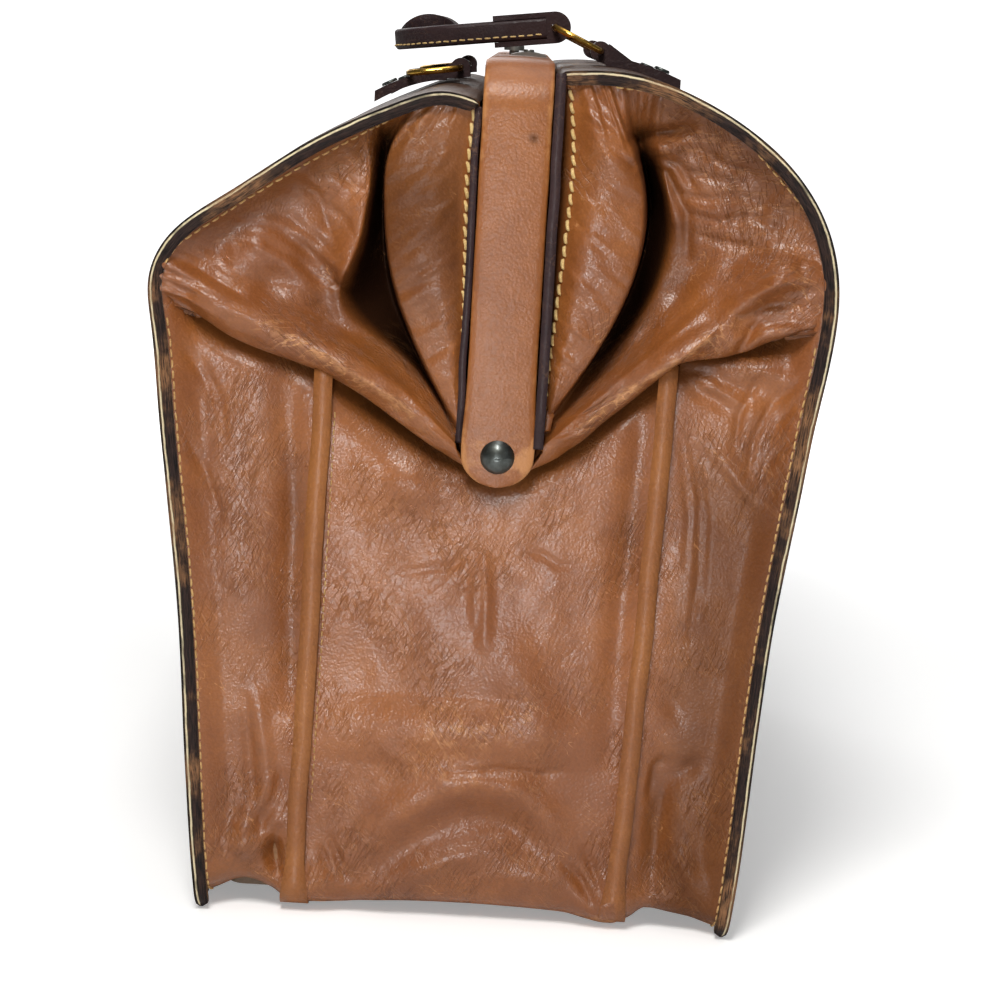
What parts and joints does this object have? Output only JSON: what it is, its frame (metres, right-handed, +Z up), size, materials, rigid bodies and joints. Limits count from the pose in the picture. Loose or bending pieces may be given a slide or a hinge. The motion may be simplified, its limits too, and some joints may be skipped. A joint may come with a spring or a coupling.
{
  "type": "briefcase",
  "caption": "Frame-top tan leather briefcase with stiff dark-edged panels, folded gussets with stay ribs, a riveted hinged steel frame, a sliding lock and a ring-hung handle.",
  "frame": {"origin": "on the floor, at the middle of the outer box of the case seen from above", "axes": "+X along the length of the case, +Y from the front panel to the rear panel, +Z up from the floor"},
  "size_m": [0.428, 0.2396, 0.3273],
  "materials": {
    "tan_leather": "glossy, creased",
    "light_tan_leather": "smooth, satin",
    "dark_leather": "worn, satin",
    "lining_suede": "matt nap",
    "board": "covered, matt",
    "frame_steel": "dull nickel",
    "dark_steel": "gunmetal",
    "brass": "polished, worn"
  },
  "bodies": {
    "case": {"front_panel": "dark_leather", "rear_panel": "dark_leather", "gusset_strip": "tan_leather", "front_stay_rib": "light_tan_leather", "rear_stay_rib": "light_tan_leather", "front_lining": "lining_suede", "rear_lining": "lining_suede", "base_board": "board", "divider": "lining_suede", "divider_pocket": "lining_suede", "frame_rivets": "dark_steel", "rivet_washers": "dark_steel"},
    "front_frame": {"front_frame_bar": "frame_steel", "frame_cover_strip": "light_tan_leather", "front_bar_cover": "dark_leather", "front_binding": "dark_leather", "front_shoulder": "dark_leather", "front_gusset_folds": "tan_leather", "lock_case": "frame_steel", "lock_plate": "frame_steel", "lock_screws": "frame_steel", "front_chapes": "dark_leather", "front_chape_rivets": "brass"},
    "rear_frame": {"rear_frame_bar": "frame_steel", "rear_bar_cover": "dark_leather", "rear_binding": "dark_leather", "rear_shoulder": "dark_leather", "rear_gusset_folds": "tan_leather", "lock_catch": "frame_steel", "rear_chapes": "dark_leather", "rear_chape_rivets": "brass"},
    "bolt": {"lock_bolt": "brass"},
    "front_ring_a": {"front_ring_near": "brass"},
    "front_ring_b": {"front_ring_far": "brass"},
    "rings": {"rear_rings": "brass"},
    "handle": {"handle_strap": "dark_leather", "handle_pad": "dark_leather", "handle_loops": "dark_leather"}
  },
  "joints": [
    {"name": "front_frame_hinge", "type": "hinge", "parent": "case", "child": "front_frame", "pos_m": [0, 0.005, 0.172], "axis": [1, 0, 0], "range_deg": [0, 30], "deforming": ["front_gusset_folds"]},
    {"name": "rear_frame_hinge", "type": "hinge", "parent": "case", "child": "rear_frame", "pos_m": [0, 0.005, 0.172], "axis": [-1, 0, 0], "range_deg": [0, 30], "deforming": ["rear_gusset_folds"]},
    {"name": "front_ring_near_hinge", "type": "hinge", "parent": "front_frame", "child": "front_ring_a", "pos_m": [0.068, -0.0186, 0.3034], "axis": [-1, 0, 0], "range_deg": [0, 18]},
    {"name": "front_ring_far_hinge", "type": "hinge", "parent": "front_frame", "child": "front_ring_b", "pos_m": [-0.068, -0.0186, 0.3034], "axis": [-1, 0, 0], "range_deg": [0, 18]},
    {"name": "rear_ring_hinge", "type": "hinge", "parent": "rear_frame", "child": "rings", "pos_m": [0, 0.0356, 0.313], "axis": [-1, 0, 0], "range_deg": [0, 80]},
    {"name": "handle_hinge", "type": "hinge", "parent": "rings", "child": "handle", "pos_m": [0, 0.01733, 0.32114], "axis": [-1, 0, 0], "range_deg": [0, 60]},
    {"name": "lock_bolt_slide", "type": "slide", "parent": "front_frame", "child": "bolt", "axis": [1, 0, 0], "range_m": [0, 0.005]}
  ]
}
